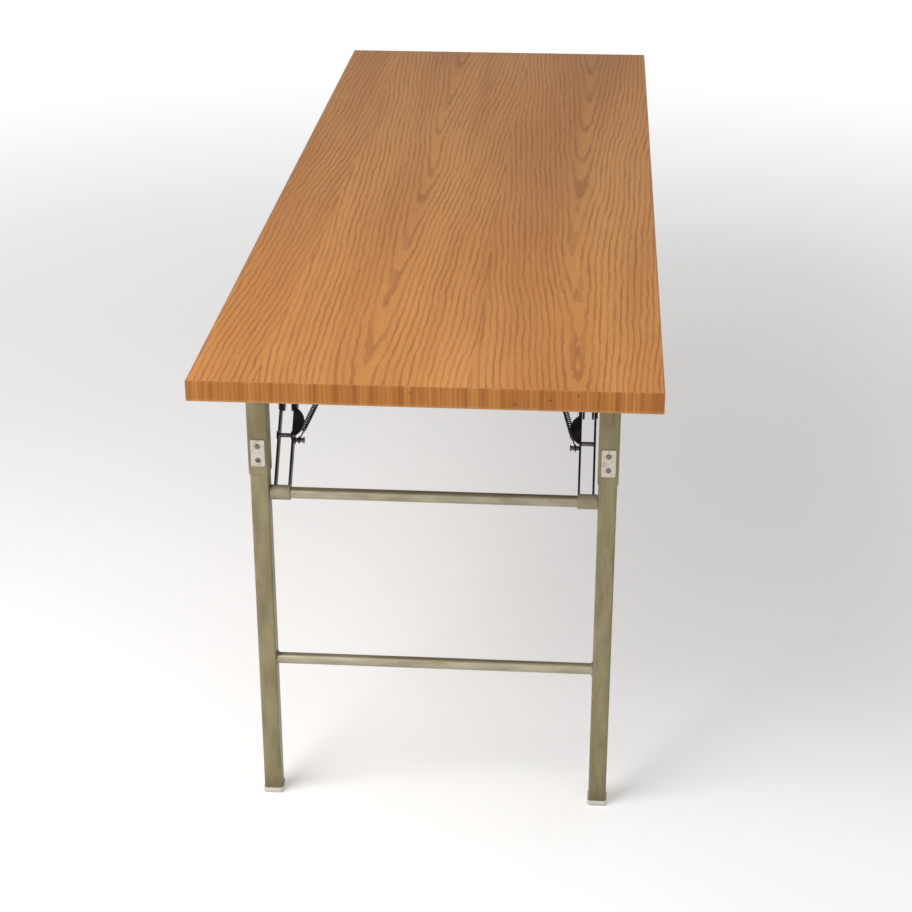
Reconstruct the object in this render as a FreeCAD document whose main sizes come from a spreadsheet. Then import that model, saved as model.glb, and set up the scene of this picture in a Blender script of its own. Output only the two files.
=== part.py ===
import FreeCAD, Part
import math
import os
import re
from FreeCAD import Placement, Rotation, Vector

# Folding banquet table: a laminated top on two tube leg frames that fold inward on toggle stays.
# X runs along the table, Y across it, Z up. The origin is on the floor under the middle of the top.
# End a is at +X and end b at -X. Right is +Y and left is -Y.

doc = FreeCAD.newDocument("folding_banquet_table")
sheet = doc.addObject("Spreadsheet::Sheet", "sizes")

SIZES = {
    # whole table
    "table_length": 1800,
    "table_width": 600,
    "table_height": 700,
    # layers of the top
    "laminate": 1,
    "core": 26,
    "backing": 1,
    "edge_band": 2,
    "edge_round": 1,
    # leg frames
    "leg_inset": 142,
    "leg_side_inset": 65,
    "leg_side": 25,
    "leg_wall": 1.2,
    "leg_round": 3,
    "leg_overrun": 14,
    "sleeve_wall": 1.5,
    "sleeve_length": 150,
    "bar_diameter": 16,
    "bar_wall": 1.2,
    "upper_bar_drop": 168,
    "lower_bar_height": 220,
    # feet
    "foot_height": 8,
    "foot_lip": 1.5,
    "foot_stem": 20,
    "foot_play": 0.2,
    "foot_chamfer": 1.5,
    # bright plates riveted over the sleeves
    "plate_width": 19,
    "plate_height": 39,
    "plate_thick": 1.5,
    "plate_round": 2,
    "plate_drop": 104,
    "plate_rivet": 4,
    "plate_rivet_head": 7.5,
    "plate_rivet_dome": 1.6,
    "plate_rivet_spacing": 20,
    "plate_rivet_tail": 2,
    # leg hinges
    "bracket_steel": 2,
    "hinge_drop": 24,
    "hinge_pin": 8,
    "hinge_head": 13,
    "hinge_head_height": 2.2,
    "hinge_cheek": 30,
    "hinge_base_length": 64,
    "hinge_base_width": 70,
    "hinge_screw_run": 46,
    "hinge_screw_span": 54,
    "side_play": 0.4,
    "pin_play": 0.3,
    "seat_play": 0.05,
    # wood screws
    "screw": 4,
    "screw_head": 9,
    "screw_head_height": 2.4,
    "screw_length": 16,
    # stays
    "stay_inset": 285,
    "strap_width": 14,
    "strap_thick": 3,
    "strap_play": 0.5,
    "stay_side_gap": 1.1,
    "stay_inside": 9.6,
    "stay_eye": 20.6,
    "stay_pin": 6,
    "stay_pin_eye": 18,
    "stay_web_start": 14,
    "stay_web_end": 12,
    "stay_base_length": 64,
    "stay_base_width": 30,
    "stay_screw_run": 48,
    "knee_head": 11,
    "knee_head_height": 1.8,
    "tie_reach": 45,
    "tie_offset": 10.3,
    "tie_ear": 12,
    "post_offset": 11.5,
    "post_length": 11,
    "post_head": 9,
    "post_head_height": 1.5,
    "tab_length": 40,
    "tab_reach": 13,
    "tab_start": 4,
    # springs between stay and top
    "spring_inset": 520,
    "spring_drop": 12,
    "spring_drift": 80,
    "spring_seat": 5,
    "spring_wire": 2,
    "spring_coil": 8.4,
    "spring_pitch": 4.2,
    "spring_turns": 24,
    "spring_lead": 11,
    "spring_run_in": 3,
    "spring_gap": 0.3,
    "anchor_base_length": 44,
    "anchor_base_width": 24,
    "anchor_tab_width": 14,
    "anchor_tab_below": 7,
    "anchor_screw_run": 28,
}

for row, (alias, value) in enumerate(SIZES.items(), start=1):
    sheet.set(f"A{row}", alias)
    sheet.set(f"B{row}", str(value))
    sheet.setAlias(f"B{row}", alias)
doc.recompute()
size = {alias: float(sheet.get(alias)) for alias in SIZES}

ALIAS = re.compile(r"[a-z_]+")
nodes = []


def cell_name(found):
    """A word in a formula as the sheet's cell, where the sheet has that alias."""
    word = found.group()
    return "sizes." + word if word in SIZES else word


def bind(thing, **formulas):
    """Ties properties of a feature to cells; a formula names the cells by their aliases."""
    for name, formula in formulas.items():
        thing.setExpression(name, ALIAS.sub(cell_name, formula))
    return thing


def box(name, length, width, height, corner):
    made = doc.addObject("Part::Box", name)
    bind(made, Length=length, Width=width, Height=height)
    made.Placement.Base = corner
    return made


def rod(name, radius, length, start, direction):
    """A round bar from start, along direction."""
    made = doc.addObject("Part::Cylinder", name)
    bind(made, Radius=radius, Height=length)
    made.Placement = Placement(start, Rotation(Vector(0, 0, 1), direction))
    return made


def fuse(name, *shapes):
    made = doc.addObject("Part::MultiFuse", name)
    made.Shapes = list(shapes)
    made.Refine = True
    return made


def group(name, *shapes):
    made = doc.addObject("Part::Compound", name)
    made.Links = list(shapes)
    return made


def cut(name, base, *tools):
    made = doc.addObject("Part::Cut", name)
    made.Base = base
    made.Tool = tools[0] if len(tools) == 1 else group(name + "_cutters", *tools)
    return made


def mirror(name, source, normal):
    made = doc.addObject("Part::Mirroring", name)
    made.Source = source
    made.Base = Vector(0, 0, 0)
    made.Normal = normal
    return made


def node(label, shape):
    shape.Label = label
    nodes.append(shape)
    return shape


def sides(stem, master):
    """The piece at end a on the right, and its mirror images at the other three corners."""
    a_left = mirror(stem + "_a_left", master, Vector(0, 1, 0))
    b_right = mirror(stem + "_b_right", master, Vector(1, 0, 0))
    b_left = mirror(stem + "_b_left", a_left, Vector(1, 0, 0))
    return {"a_right": master, "a_left": a_left, "b_right": b_right, "b_left": b_left}


def corner_nodes(stem, master):
    for corner, piece in sides(stem, master).items():
        node(f"{stem}_{corner}", piece)


def frame_nodes(stem, master):
    """A piece that spans one leg frame, and its mirror image at end b."""
    node(stem + "_a", master)
    node(stem + "_b", mirror(stem + "_b", master, Vector(1, 0, 0)))


# Heights and places that follow from the sizes
half_length = size["table_length"] / 2
half_width = size["table_width"] / 2
underside = size["table_height"] - size["laminate"] - size["core"] - size["backing"]
plate_under = underside - size["bracket_steel"]
pivot_height = underside - size["hinge_drop"]
leg_x = half_length - size["leg_inset"]
leg_y = half_width - size["leg_side_inset"]
half_leg = size["leg_side"] / 2
half_sleeve = half_leg + size["sleeve_wall"]
bar_height = pivot_height - size["upper_bar_drop"]
ACROSS = Vector(0, 1, 0)
UP = Vector(0, 0, 1)


# Screw group: one pan head wood screw at each spot, from the steel plate up into the core
pilot_holes = []


def screw_group(stem, spots):
    screws = []
    for index, (x, y) in enumerate(spots):
        seat = Vector(x, y, plate_under)
        head = rod(f"{stem}_head_{index}", "screw_head / 2", "screw_head_height", seat, Vector(0, 0, -1))
        shank = rod(f"{stem}_shank_{index}", "screw / 2", "screw_length", seat, UP)
        screws.append(fuse(f"{stem}_{index}", head, shank))
        pilot_holes.append(rod(f"{stem}_pilot_{index}", "screw / 2 + seat_play", "screw_length", seat, UP))
    return group(stem + "_master", *screws)


def screw_holes(stem, spots):
    """Clearance holes through a steel base plate."""
    below = plate_under
    return [
        rod(f"{stem}_hole_{index}", "screw / 2 + pin_play", "bracket_steel", Vector(x, y, below), UP)
        for index, (x, y) in enumerate(spots)
    ]


def four_spots(x, y, run, span):
    return [(x + a * run / 2, y + b * span / 2) for a in (-1, 1) for b in (-1, 1)]


def two_spots(x, y, run):
    return [(x + a * run / 2, y) for a in (-1, 1)]


# Leg tube: a square tube with rounded corners, made as one body
def square_tube(name, side, wall, corner, length):
    body = doc.addObject("PartDesign::Body", name)
    outside = body.newObject("PartDesign::AdditiveBox", name + "_outside")
    bind(outside, Length=side, Width=side, Height=length)
    bind(outside, **{"Placement.Base.x": f"-({side}) / 2", "Placement.Base.y": f"-({side}) / 2"})
    doc.recompute()
    corners = body.newObject("PartDesign::Fillet", name + "_corners")
    corners.Base = (outside, upright_edges(outside.Shape))
    bind(corners, Radius=corner)
    doc.recompute()
    bore = body.newObject("PartDesign::SubtractiveBox", name + "_bore")
    bind(bore, Length=f"{side} - 2 * ({wall})", Width=f"{side} - 2 * ({wall})", Height=length)
    inset = f"({wall}) - ({side}) / 2"
    bind(bore, **{"Placement.Base.x": inset, "Placement.Base.y": inset})
    doc.recompute()
    return body


def upright_edges(shape):
    names = []
    for index, edge in enumerate(shape.Edges, start=1):
        first, last = edge.Vertexes[0].Point, edge.Vertexes[-1].Point
        if abs(first.x - last.x) + abs(first.y - last.y) < 1e-6:
            names.append(f"Edge{index}")
    return names


# Top: core board between two sheets, with a band round the edge
band = size["edge_band"]
inside_length = "table_length - 2 * edge_band"
inside_width = "table_width - 2 * edge_band"
inside_corner = Vector(band - half_length, band - half_width, underside)
core_blank = box("core_blank", inside_length, inside_width, "core", inside_corner + UP * size["backing"])
backing_blank = box("backing_blank", inside_length, inside_width, "backing", inside_corner)
laminate_corner = inside_corner + UP * (size["backing"] + size["core"])
node("top_laminate", box("top_laminate", inside_length, inside_width, "laminate", laminate_corner))


def edge_band(name, length, width, corner, outward):
    """A strip over the whole edge, its two outer arrises eased."""
    body = doc.addObject("PartDesign::Body", name)
    strip = body.newObject("PartDesign::AdditiveBox", name + "_strip")
    bind(strip, Length=length, Width=width, Height="laminate + core + backing")
    doc.recompute()
    arrises = []
    middle = strip.Shape.BoundBox.Center
    for index, edge in enumerate(strip.Shape.Edges, start=1):
        first, last = edge.Vertexes[0].Point, edge.Vertexes[-1].Point
        level = abs(first.z - last.z) < 1e-6
        along = abs((last - first).dot(outward)) < 1e-6
        outer = (edge.CenterOfMass - middle).dot(outward) > 0
        if level and along and outer:
            arrises.append(f"Edge{index}")
    eased = body.newObject("PartDesign::Fillet", name + "_eased")
    eased.Base = (strip, arrises)
    bind(eased, Radius="edge_round")
    body.Placement.Base = corner
    return body


end_corner = Vector(half_length - band, -half_width, underside)
end_band = edge_band("end_band_a", "edge_band", "table_width", end_corner, Vector(1, 0, 0))
node("end_edge_bands", group("end_bands", end_band, mirror("end_band_b", end_band, Vector(1, 0, 0))))
side_corner = Vector(band - half_length, half_width - band, underside)
side_band = edge_band("side_band_right", inside_length, "edge_band", side_corner, ACROSS)
node("side_edge_bands", group("side_bands", side_band, mirror("side_band_left", side_band, ACROSS)))


# Leg hinge bracket: a base plate with two cheeks that hold the hinge rivet
hinge_base = box(
    "hinge_base", "hinge_base_length", "hinge_base_width", "bracket_steel",
    Vector(leg_x - size["hinge_base_length"] / 2, leg_y - size["hinge_base_width"] / 2, plate_under),
)
inner_cheek = leg_y - half_sleeve - size["side_play"] - size["bracket_steel"]
outer_cheek = leg_y + half_sleeve + size["side_play"]
cheeks = []
for side, y in (("inner", inner_cheek), ("outer", outer_cheek)):
    corner = Vector(leg_x - size["hinge_cheek"] / 2, y, pivot_height)
    height = "hinge_drop - bracket_steel / 2"
    cheeks.append(box(f"hinge_{side}_cheek", "hinge_cheek", "bracket_steel", height, corner))
    lobe_start = Vector(leg_x, y, pivot_height)
    cheeks.append(rod(f"hinge_{side}_lobe", "hinge_cheek / 2", "bracket_steel", lobe_start, ACROSS))
hinge_spots = four_spots(leg_x, leg_y, size["hinge_screw_run"], size["hinge_screw_span"])
cheek_to_cheek = "leg_side + 2 * (sleeve_wall + side_play + bracket_steel)"
rivet_start = Vector(leg_x, inner_cheek, pivot_height)
hinge_bore = rod("hinge_bore", "hinge_pin / 2 + seat_play", cheek_to_cheek, rivet_start, ACROSS)
hinge_solid = fuse("hinge_solid", hinge_base, *cheeks)
hinge_bracket = cut("hinge_bracket", hinge_solid, hinge_bore, *screw_holes("hinge_bracket", hinge_spots))
corner_nodes("hinge_bracket", hinge_bracket)
hinge_screws = screw_group("hinge_screw", hinge_spots)
node("hinge_bracket_screws", group("hinge_screws", *sides("hinge_screw_set", hinge_screws).values()))

rivet_shank = rod("hinge_shank", "hinge_pin / 2", cheek_to_cheek, rivet_start, ACROSS)
head_start = Vector(leg_x, outer_cheek + size["bracket_steel"], pivot_height)
rivet_head = rod("hinge_rivet_head", "hinge_head / 2", "hinge_head_height", head_start, ACROSS)
hinge_rivet = fuse("hinge_rivet", rivet_shank, rivet_head)
node("hinge_rivets", group("hinge_rivets", *sides("hinge_rivet", hinge_rivet).values()))


# Leg frame: two square legs with riveted sleeves, two round crossbars and two plastic feet
leg_top = pivot_height + size["leg_overrun"]
sleeve_foot = leg_top - size["sleeve_length"]
plate_height = pivot_height - size["plate_drop"]
leg_length = "table_height - laminate - core - backing - hinge_drop + leg_overrun - foot_height"
tube = square_tube("leg_tube", "leg_side", "leg_wall", "leg_round", leg_length)
tube.Placement.Base = Vector(leg_x, leg_y, size["foot_height"])
sleeve_side = "leg_side + 2 * sleeve_wall"
sleeve_tube = square_tube("sleeve_tube", sleeve_side, "sleeve_wall", "leg_round", "sleeve_length")
sleeve_tube.Placement.Base = Vector(leg_x, leg_y, sleeve_foot)

outward = Vector(1, 0, 0)
plate_face = leg_x + half_sleeve
rivet_heights = [plate_height + side * size["plate_rivet_spacing"] / 2 for side in (-1, 1)]
rivet_shank_length = "plate_thick + sleeve_wall + leg_wall + plate_rivet_tail"
shank_root = plate_face - size["sleeve_wall"] - size["leg_wall"] - size["plate_rivet_tail"]


def plate_rivet_bores(stem):
    return [
        rod(f"{stem}_rivet_bore_{index}", "plate_rivet / 2 + seat_play", rivet_shank_length,
            Vector(shank_root, leg_y, height), outward)
        for index, height in enumerate(rivet_heights)
    ]


def hinge_clearance(stem):
    """Bore across the leg for the hinge rivet, with running play."""
    start = Vector(leg_x, leg_y - half_sleeve, pivot_height)
    return rod(f"{stem}_hinge_bore", "hinge_pin / 2 + pin_play", sleeve_side, start, ACROSS)


leg = cut("leg", tube, hinge_clearance("leg"), *plate_rivet_bores("leg"))
corner_nodes("leg", leg)
sleeve = cut("leg_sleeve", sleeve_tube, hinge_clearance("sleeve"), *plate_rivet_bores("sleeve"))
corner_nodes("leg_sleeve", sleeve)

plate_body = doc.addObject("PartDesign::Body", "plate_body")
plate_blank = plate_body.newObject("PartDesign::AdditiveBox", "plate_blank")
bind(plate_blank, Length="plate_width", Width="plate_height", Height="plate_thick")
doc.recompute()
plate_corners = plate_body.newObject("PartDesign::Fillet", "plate_corners")
plate_corners.Base = (plate_blank, upright_edges(plate_blank.Shape))
bind(plate_corners, Radius="plate_round")
plate_corner = Vector(plate_face, leg_y - size["plate_width"] / 2, plate_height - size["plate_height"] / 2)
plate_body.Placement = Placement(plate_corner, Rotation(ACROSS, UP, outward, "ZXY"))
plate = cut("plate", plate_body, *plate_rivet_bores("plate"))
plate_pair = group("plate_pair", plate, mirror("plate_left", plate, ACROSS))
frame_nodes("rivet_plates", plate_pair)

rivets = []
for index, height in enumerate(rivet_heights):
    shank = rod(f"plate_shank_{index}", "plate_rivet / 2", rivet_shank_length,
                Vector(shank_root, leg_y, height), outward)
    seat = Vector(plate_face + size["plate_thick"], leg_y, height)
    dome = doc.addObject("Part::Cone", f"plate_dome_{index}")
    bind(dome, Radius1="plate_rivet_head / 2", Radius2="plate_rivet / 2", Height="plate_rivet_dome")
    dome.Placement = Placement(seat, Rotation(UP, outward))
    rivets.append(fuse(f"plate_rivet_{index}", shank, dome))
rivets_right = group("plate_rivets_right", *rivets)
rivets_left = mirror("plate_rivets_left", rivets_right, ACROSS)
frame_nodes("plate_rivets", group("plate_rivet_set", rivets_right, rivets_left))


def crossbar(stem, height):
    """A round tube between the inner faces of the two legs."""
    start = Vector(leg_x, half_leg - leg_y, height)
    span = "table_width - 2 * leg_side_inset - leg_side"
    outside = rod(stem + "_outside", "bar_diameter / 2", span, start, ACROSS)
    bore = rod(stem + "_bore", "bar_diameter / 2 - bar_wall", span, start, ACROSS)
    frame_nodes(stem, cut(stem, outside, bore))


crossbar("upper_bar", bar_height)
crossbar("lower_bar", size["lower_bar_height"])

foot_body = doc.addObject("PartDesign::Body", "foot_body")
sole = foot_body.newObject("PartDesign::AdditiveBox", "foot_sole")
sole_side = "leg_side + 2 * foot_lip"
sole_inset = "-leg_side / 2 - foot_lip"
bind(sole, Length=sole_side, Width=sole_side, Height="foot_height")
bind(sole, **{"Placement.Base.x": sole_inset, "Placement.Base.y": sole_inset})
doc.recompute()
sole_corners = foot_body.newObject("PartDesign::Fillet", "foot_corners")
sole_corners.Base = (sole, upright_edges(sole.Shape))
bind(sole_corners, Radius="leg_round + foot_lip")
doc.recompute()
sole_rim = foot_body.newObject("PartDesign::Chamfer", "foot_rim")
floor_faces = [
    f"Face{index}" for index, face in enumerate(sole_corners.Shape.Faces, start=1) if face.BoundBox.ZMax < 1e-6
]
sole_rim.Base = (sole_corners, floor_faces)
bind(sole_rim, Size="foot_chamfer")
doc.recompute()
stem = foot_body.newObject("PartDesign::AdditiveBox", "foot_stem_block")
stem_side = "leg_side - 2 * (leg_wall + foot_play)"
bind(stem, Length=stem_side, Width=stem_side, Height="foot_stem")
stem_inset = "leg_wall + foot_play - leg_side / 2"
bind(stem, **{"Placement.Base.x": stem_inset, "Placement.Base.y": stem_inset})
bind(stem, **{"Placement.Base.z": "foot_height"})
foot_body.Placement.Base = Vector(leg_x, leg_y, 0)
corner_nodes("foot", foot_body)


# Stay geometry, seen from the side: hinge, bar and stay pivot give the two stay lengths.
# Open, the stay is straight from the bar to its bracket. Folded, both stays lie level and point outward.
stay_x = half_length - size["stay_inset"]
stay_run = size["stay_inset"] - size["leg_inset"]
stay_span = math.hypot(stay_run, size["upper_bar_drop"])
stay_slope = math.atan2(size["upper_bar_drop"], stay_run)
folded_bar_inset = size["leg_inset"] + size["upper_bar_drop"]
lower_length = (stay_span + folded_bar_inset - size["stay_inset"]) / 2
upper_length = stay_span - lower_length

# Lanes of the straps across the table, from the leg inward
strap = size["strap_thick"]
lower_outer = inner_cheek - size["stay_side_gap"] - strap
upper_outer = lower_outer - size["strap_play"] - strap
upper_inner = upper_outer - size["stay_inside"] - strap
lower_inner = upper_inner - size["strap_play"] - strap
lower_width = "4 * strap_thick + 2 * strap_play + stay_inside"
upper_width = "2 * strap_thick + stay_inside"

upper_place = Placement(Vector(stay_x, 0, pivot_height), Rotation(ACROSS, math.degrees(stay_slope)))
lower_place = Placement(Vector(leg_x, 0, bar_height), Rotation(ACROSS, math.degrees(stay_slope) - 180))
sheet_upper = f"{upper_length}"
sheet_lower = f"{lower_length}"


def strap_pieces(stem, length, lane, eye):
    """A flat strap along local X from a round eye at the pivot to the rounded knee end."""
    flat = box(stem + "_flat", length, "strap_width", "strap_thick", Vector(0, 0, 0))
    flat.Placement = Placement(Vector(0, lane, size["strap_width"] / 2), Rotation(Vector(1, 0, 0), -90))
    pivot_eye = rod(stem + "_eye", eye, "strap_thick", Vector(0, lane, 0), ACROSS)
    knee_eye = rod(stem + "_knee", "strap_width / 2", "strap_thick", Vector(float(length), lane, 0), ACROSS)
    return [flat, pivot_eye, knee_eye]


# Upper stay: two straps joined by a web along their upper edge
upper_pieces = strap_pieces("upper_outer_strap", sheet_upper, upper_outer, "stay_pin_eye / 2")
upper_pieces += strap_pieces("upper_inner_strap", sheet_upper, upper_inner, "stay_pin_eye / 2")
web_corner = Vector(size["stay_web_start"], upper_inner, size["strap_width"] / 2 - strap)
web_length = f"{sheet_upper} - stay_web_start - stay_web_end"
upper_pieces.append(box("upper_web", web_length, upper_width, "strap_thick", web_corner))
upper_solid = fuse("upper_solid", *upper_pieces)
upper_bore = rod("upper_bore", "stay_pin / 2 + pin_play", upper_width, Vector(0, upper_inner, 0), ACROSS)
upper_stay = cut("upper_stay", upper_solid, upper_bore)
upper_stay.Placement = upper_place
corner_nodes("upper_stay", upper_stay)

# Lower stay: two straps on an eye tube that turns on the upper bar, with a finger tab on the inner strap
lower_pieces = strap_pieces("lower_outer_strap", sheet_lower, lower_outer, "stay_eye / 2")
lower_pieces += strap_pieces("lower_inner_strap", sheet_lower, lower_inner, "stay_eye / 2")
eye_end = leg_y - half_leg - size["strap_play"]
eye_length = f"{eye_end - lower_inner}"
eye_tube = rod("eye_tube", "stay_eye / 2", eye_length, Vector(0, lower_inner, 0), ACROSS)
lower_pieces.append(eye_tube)
tie_x = lower_length - size["tie_reach"]
for stem_name, lane in (("outer", lower_outer), ("inner", lower_inner)):
    ear_start = Vector(tie_x, lane, -size["tie_offset"])
    lower_pieces.append(rod(f"tie_ear_{stem_name}", "tie_ear / 2", "strap_thick", ear_start, ACROSS))
post_start = Vector(tie_x, lower_inner, size["post_offset"])
lower_pieces.append(rod("post_ear", "tie_ear / 2", "strap_thick", post_start, ACROSS))
neck_corner = Vector(tie_x - size["tie_ear"] / 2, lower_inner, 0)
lower_pieces.append(box("post_neck", "tie_ear", "strap_thick", "post_offset", neck_corner))
tab_radius = (size["tab_length"] ** 2 / 4 + size["tab_reach"] ** 2) / (2 * size["tab_reach"])
tab_middle = lower_length - size["tab_start"] - size["tab_length"] / 2
tab_level = -size["strap_width"] / 2
tab_corner = Vector(tab_middle - size["tab_length"] / 2, lower_inner - size["tab_reach"], tab_level)
tab_blank = box("tab_blank", "tab_length", "tab_reach + strap_thick", "strap_thick", tab_corner)
tab_centre = Vector(tab_middle, lower_inner - size["tab_reach"] + tab_radius, tab_level)
tab_round = rod("tab_round", f"{tab_radius}", "strap_thick", tab_centre, UP)
tab = doc.addObject("Part::Common", "finger_tab")
tab.Base = tab_blank
tab.Tool = tab_round
lower_pieces.append(tab)
lower_solid = fuse("lower_solid", *lower_pieces)
bar_bore = rod("bar_bore", "bar_diameter / 2 + pin_play", eye_length, Vector(0, lower_inner, 0), ACROSS)
knee_start = Vector(lower_length, lower_inner, 0)
knee_bore = rod("knee_bore", "stay_pin / 2 + seat_play", lower_width, knee_start, ACROSS)
tie_start = Vector(tie_x, lower_inner, -size["tie_offset"])
tie_bore = rod("tie_bore", "stay_pin / 2 + seat_play", lower_width, tie_start, ACROSS)
post_bore = rod("post_bore", "stay_pin / 2 + seat_play", "strap_thick", post_start, ACROSS)
lower_stay = cut("lower_stay", lower_solid, bar_bore, knee_bore, tie_bore, post_bore)
lower_stay.Placement = lower_place
corner_nodes("lower_stay", lower_stay)

# Stay pins: knee rivets in the lower straps, the tie between them and the post that the spring pulls on
pins = [rod("tie_pin", "stay_pin / 2", lower_width, tie_start, ACROSS)]
for stem_name, lane, way in (("outer", lower_outer, 1), ("inner", lower_inner, -1)):
    shank_start = Vector(lower_length, lane, 0)
    shank = rod(f"knee_shank_{stem_name}", "stay_pin / 2", "strap_thick", shank_start, ACROSS)
    head_seat = Vector(lower_length, lane + (strap if way > 0 else 0), 0)
    head = rod(f"knee_head_{stem_name}", "knee_head / 2", "knee_head_height", head_seat, ACROSS * way)
    pins.append(fuse(f"knee_rivet_{stem_name}", shank, head))
post_inner = Vector(tie_x, lower_inner + strap, size["post_offset"])
post_shank = rod("post_shank", "stay_pin / 2", "post_length + strap_thick", post_inner, ACROSS * -1)
post_tip = Vector(tie_x, lower_inner - size["post_length"], size["post_offset"])
post_cap = rod("post_cap", "post_head / 2", "post_head_height", post_tip, ACROSS * -1)
pins.append(fuse("spring_post", post_shank, post_cap))
stay_pins = group("stay_pins", *pins)
stay_pins.Placement = lower_place
corner_nodes("stay_pins", stay_pins)


# Stay bracket: a base plate with two ears between the upper stay's straps, and the pivot pin
stay_middle = (lower_inner + lower_outer + strap) / 2
stay_base = box(
    "stay_base", "stay_base_length", "stay_base_width", "bracket_steel",
    Vector(stay_x - size["stay_base_length"] / 2, stay_middle - size["stay_base_width"] / 2, plate_under),
)
ears = []
ear_outer = upper_outer - size["strap_play"] - size["bracket_steel"]
ear_inner = upper_inner + strap + size["strap_play"]
for side, y in (("outer", ear_outer), ("inner", ear_inner)):
    corner = Vector(stay_x - size["stay_pin_eye"] / 2, y, pivot_height)
    height = "hinge_drop - bracket_steel / 2"
    ears.append(box(f"stay_{side}_ear", "stay_pin_eye", "bracket_steel", height, corner))
    lobe_start = Vector(stay_x, y, pivot_height)
    ears.append(rod(f"stay_{side}_lobe", "stay_pin_eye / 2", "bracket_steel", lobe_start, ACROSS))
stay_spots = two_spots(stay_x, stay_middle, size["stay_screw_run"])
pin_start = Vector(stay_x, upper_inner, pivot_height)
stay_bore = rod("stay_bore", "stay_pin / 2 + seat_play", upper_width, pin_start, ACROSS)
stay_solid = fuse("stay_solid", stay_base, *ears)
stay_bracket = cut("stay_bracket", stay_solid, stay_bore, *screw_holes("stay_bracket", stay_spots))
corner_nodes("stay_bracket", stay_bracket)
stay_screws = screw_group("stay_screw", stay_spots)
node("stay_bracket_screws", group("stay_screws", *sides("stay_screw_set", stay_screws).values()))
pivot_pin = rod("pivot_pin", "stay_pin / 2", upper_width, pin_start, ACROSS)
node("stay_pivot_pins", group("pivot_pins", *sides("pivot_pin", pivot_pin).values()))


# Spring line: from the post on the lower stay up and inward to an anchor under the top
post_seat = lower_place.multVec(Vector(tie_x, lower_inner - size["spring_seat"], size["post_offset"]))
anchor_point = Vector(half_length - size["spring_inset"], post_seat.y - size["spring_drift"],
                      underside - size["spring_drop"])
pull = anchor_point - post_seat
spring_reach = pull.Length
pull.normalize()
spring_turn = Rotation(pull, Vector(0, 0, 0), UP, "XZY")

# Spring anchor: a small base plate in line with the spring, and a tab bent square to it
level_pull = Vector(pull.x, pull.y, 0)
anchor_yaw = Rotation(Vector(1, 0, 0), level_pull)
tab_rise = (plate_under + size["bracket_steel"] / 2 - anchor_point.z) / spring_turn.multVec(UP).z
tab_height = f"anchor_tab_below + {tab_rise}"
anchor_tab = box("anchor_tab", "bracket_steel", "anchor_tab_width", tab_height, Vector(0, 0, 0))
tab_foot = Vector(0, -size["anchor_tab_width"] / 2, -size["anchor_tab_below"])
anchor_tab.Placement = Placement(anchor_point, spring_turn).multiply(Placement(tab_foot, Rotation()))
anchor_base = box("anchor_base", "anchor_base_length", "anchor_base_width", "bracket_steel", Vector(0, 0, 0))
anchor_seat = Placement(Vector(anchor_point.x, anchor_point.y, plate_under), anchor_yaw)
base_back = Vector(-size["anchor_base_length"] / 2, -size["anchor_base_width"] / 2, 0)
anchor_base.Placement = anchor_seat.multiply(Placement(base_back, Rotation()))
anchor_spots = []
for way in (-1, 1):
    spot = anchor_seat.multVec(Vector(way * size["anchor_screw_run"] / 2, 0, 0))
    anchor_spots.append((spot.x, spot.y))
anchor_solid = fuse("anchor_solid", anchor_base, anchor_tab)
anchor = cut("spring_anchor", anchor_solid, *screw_holes("spring_anchor", anchor_spots))
corner_nodes("spring_anchor", anchor)
anchor_screws = screw_group("anchor_screw", anchor_spots)
node("spring_anchor_screws", group("anchor_screws", *sides("anchor_screw_set", anchor_screws).values()))


# Stay spring: one wire with a straight run at each end and open coils near the post
wire_radius = size["spring_wire"] / 2
coil_radius = (size["spring_coil"] - size["spring_wire"]) / 2


def arc_from(start, heading, finish):
    """The circular arc that leaves start along heading and ends at finish, and its radius."""
    chord = finish - start
    aside = chord - heading * chord.dot(heading)
    radius = chord.dot(chord) / (2 * aside.Length)
    centre = start + aside.normalize() * radius
    half = (start + finish) * 0.5 - centre
    return Part.Arc(start, centre + half.normalize() * radius, finish).toShape(), radius


def biarc(start, heading, finish, ending):
    """Two arcs that join a point and direction to the next, each tangent to the other."""
    chord = finish - start
    both = heading + ending
    spread = 2 * (1 - heading.dot(ending))
    reach = (math.sqrt(chord.dot(both) ** 2 + spread * chord.dot(chord)) - chord.dot(both)) / spread
    before = start + heading * reach
    after = finish - ending * reach
    meet = (before + after) * 0.5
    through = (after - before).normalize()
    return [arc_from(start, heading, meet), arc_from(meet, through, finish)]


def coil_point(turn, begin):
    """Place and direction on the coil after some turns; the straight runs lie along its lowest line."""
    angle = 2 * math.pi * turn
    place = Vector(begin + size["spring_pitch"] * turn, coil_radius * math.sin(angle),
                   coil_radius * (1 - math.cos(angle)))
    advance = size["spring_pitch"] / (2 * math.pi)
    heading = Vector(advance, coil_radius * math.cos(angle), coil_radius * math.sin(angle))
    return place, heading.normalize()


def spring_path():
    along = Vector(1, 0, 0)
    wire_start = Vector(size["stay_pin"] / 2 + size["spring_gap"], 0, 0)
    run_in = wire_start + along * size["spring_lead"]
    coil_begin = run_in.x + size["spring_run_in"] - size["spring_pitch"] / 4
    stops = [(run_in, along)]
    half_turns = int(2 * size["spring_turns"] - 1)
    for step in range(half_turns + 1):
        stops.append(coil_point(0.25 + step / 2, coil_begin))
    run_out = Vector(stops[-1][0].x + size["spring_run_in"], 0, 0)
    stops.append((run_out, along))
    arcs = []
    for (start, heading), (finish, ending) in zip(stops, stops[1:]):
        arcs += biarc(start, heading, finish, ending)
    wire_end = Vector(spring_reach - size["spring_gap"], 0, 0)
    first = Part.LineSegment(wire_start, run_in).toShape()
    last = Part.LineSegment(run_out, wire_end).toShape()
    edges = [first] + [arc for arc, radius in arcs] + [last]
    return edges, min(radius for arc, radius in arcs), wire_start


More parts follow.
